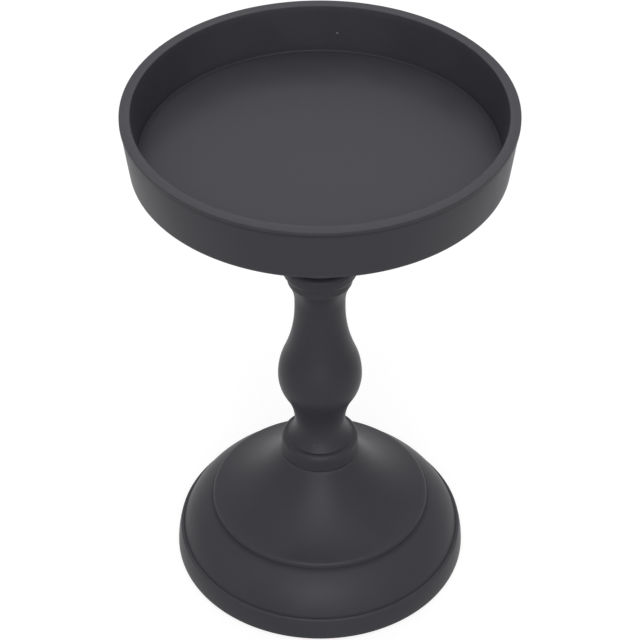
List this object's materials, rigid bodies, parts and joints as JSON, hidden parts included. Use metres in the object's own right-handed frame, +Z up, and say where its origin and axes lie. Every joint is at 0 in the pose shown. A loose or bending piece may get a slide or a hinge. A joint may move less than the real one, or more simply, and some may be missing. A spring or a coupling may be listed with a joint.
{
  "type": "candle holder",
  "caption": "Pedestal candle holder: a shallow round tray on a turned baluster stem and a stepped, domed round base, clamped together by one threaded rod.",
  "frame": {"origin": "on the axis of turning, at the level that the foot pads stand on", "axes": "+Z up along the stem; the holder is turned, so X and Y are any two level directions, and the pads lie at 45 degrees to them"},
  "size_m": [0.1016, 0.1016, 0.1524],
  "materials": {
    "black_coat": "semi-matte black powder coat on metal",
    "zinc": "bright zinc plating, hidden inside and under the base",
    "pad": "matt black rubber"
  },
  "bodies": {
    "root": {"tray": "black_coat", "tray_boss": "black_coat", "bell": "black_coat", "ring": "black_coat", "baluster": "black_coat", "collar": "black_coat", "base_shell": "black_coat", "tie_rod": "zinc", "base_washer": "zinc", "spring_washer": "zinc", "clamp_nut": "zinc", "foot_pad_1": "pad", "foot_pad_2": "pad", "foot_pad_3": "pad", "foot_pad_4": "pad"}
  },
  "joints": []
}
